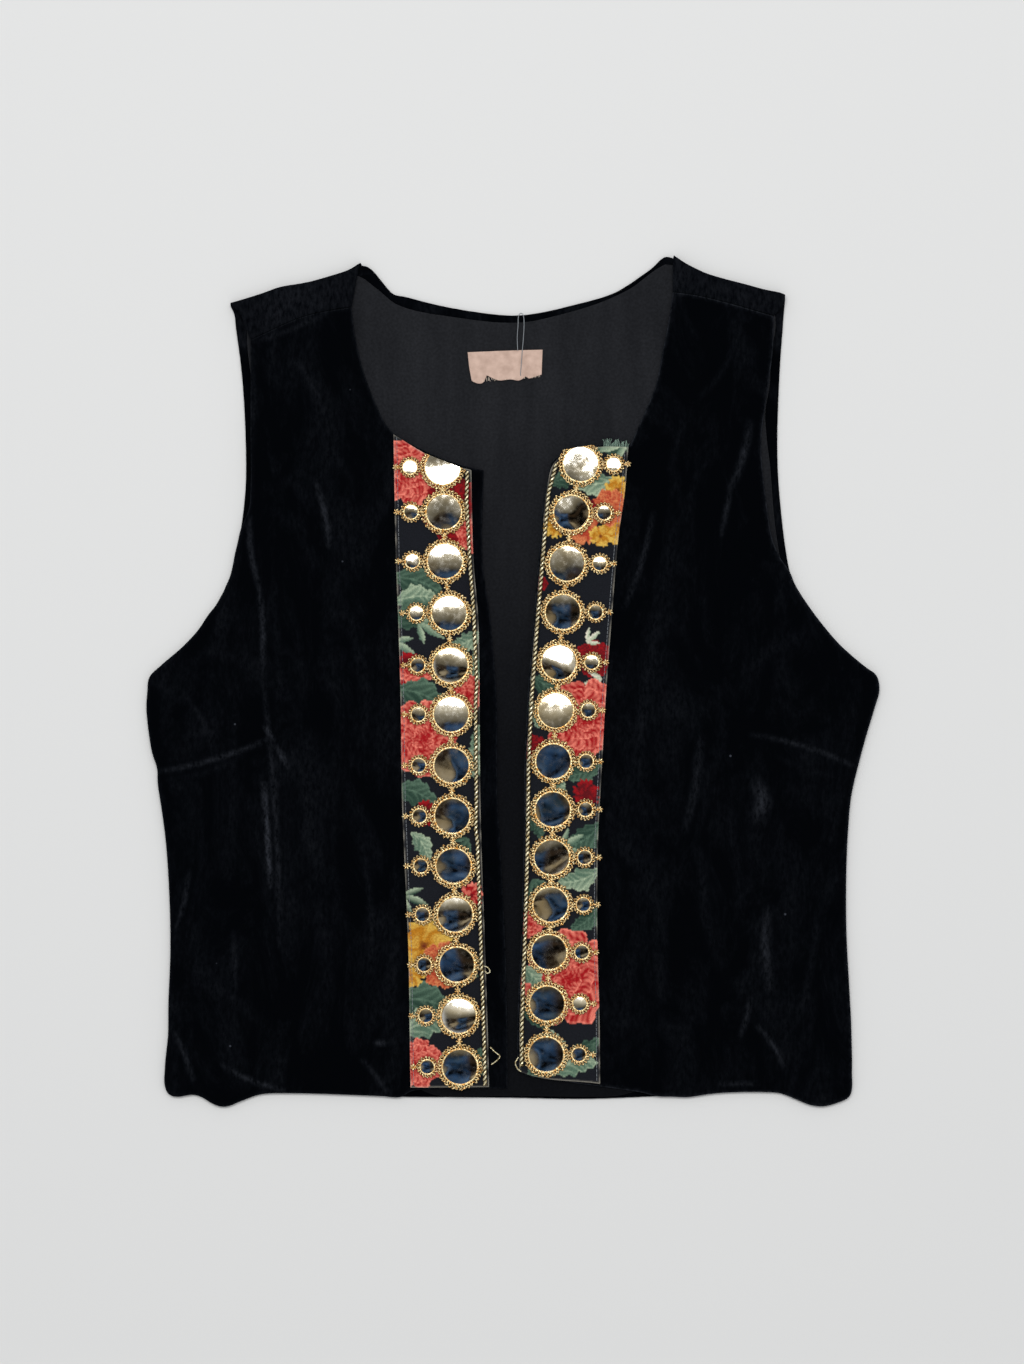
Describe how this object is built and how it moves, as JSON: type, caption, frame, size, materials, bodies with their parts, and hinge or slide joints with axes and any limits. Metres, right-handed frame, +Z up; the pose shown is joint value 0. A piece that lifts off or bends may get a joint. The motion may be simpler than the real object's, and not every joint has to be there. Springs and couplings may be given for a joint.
{
  "type": "vest",
  "caption": "Black velvet vest laid flat, edge-to-edge front with printed bands, gold-embroidered mirrors and twisted gold cords.",
  "frame": {"origin": "on the surface that the vest lies on, under the middle of its outline", "axes": "+Z up, away from the surface; +Y from hem to neck; +X across the garment, towards the wearer's left front"},
  "size_m": [0.4621, 0.5353, 0.0123],
  "materials": {
    "velvet": "black cotton velvet, deep matte pile with faint grey crush marks",
    "lining": "charcoal plain-weave cotton, matte",
    "printed_cotton": "dark plain-weave cotton with a red, green and yellow flower print",
    "gold_thread": "gold metallic embroidery thread and twisted cord",
    "mirror_foil": "thin, slightly buckled mirror discs",
    "label": "blank cream woven ribbon, torn along its lower edge"
  },
  "bodies": {
    "root": {"back_panel": "velvet", "back_lining": "lining", "front_left": "velvet", "front_right": "velvet", "band_left": "printed_cotton", "band_right": "printed_cotton", "edge_cord_left": "gold_thread", "edge_cord_right": "gold_thread", "goldwork_left": "gold_thread", "goldwork_right": "gold_thread", "label": "label", "mirror_left_01": "mirror_foil", "mirror_left_02": "mirror_foil", "mirror_left_03": "mirror_foil", "mirror_left_04": "mirror_foil", "mirror_left_05": "mirror_foil", "mirror_left_06": "mirror_foil", "mirror_left_07": "mirror_foil", "mirror_left_08": "mirror_foil", "mirror_left_09": "mirror_foil", "mirror_left_10": "mirror_foil", "mirror_left_11": "mirror_foil", "mirror_left_12": "mirror_foil", "mirror_left_13": "mirror_foil", "mirror_right_01": "mirror_foil", "mirror_right_02": "mirror_foil", "mirror_right_03": "mirror_foil", "mirror_right_04": "mirror_foil", "mirror_right_05": "mirror_foil", "mirror_right_06": "mirror_foil", "mirror_right_07": "mirror_foil", "mirror_right_08": "mirror_foil", "mirror_right_09": "mirror_foil", "mirror_right_10": "mirror_foil", "mirror_right_11": "mirror_foil", "mirror_right_12": "mirror_foil", "mirror_right_13": "mirror_foil"}
  },
  "joints": []
}
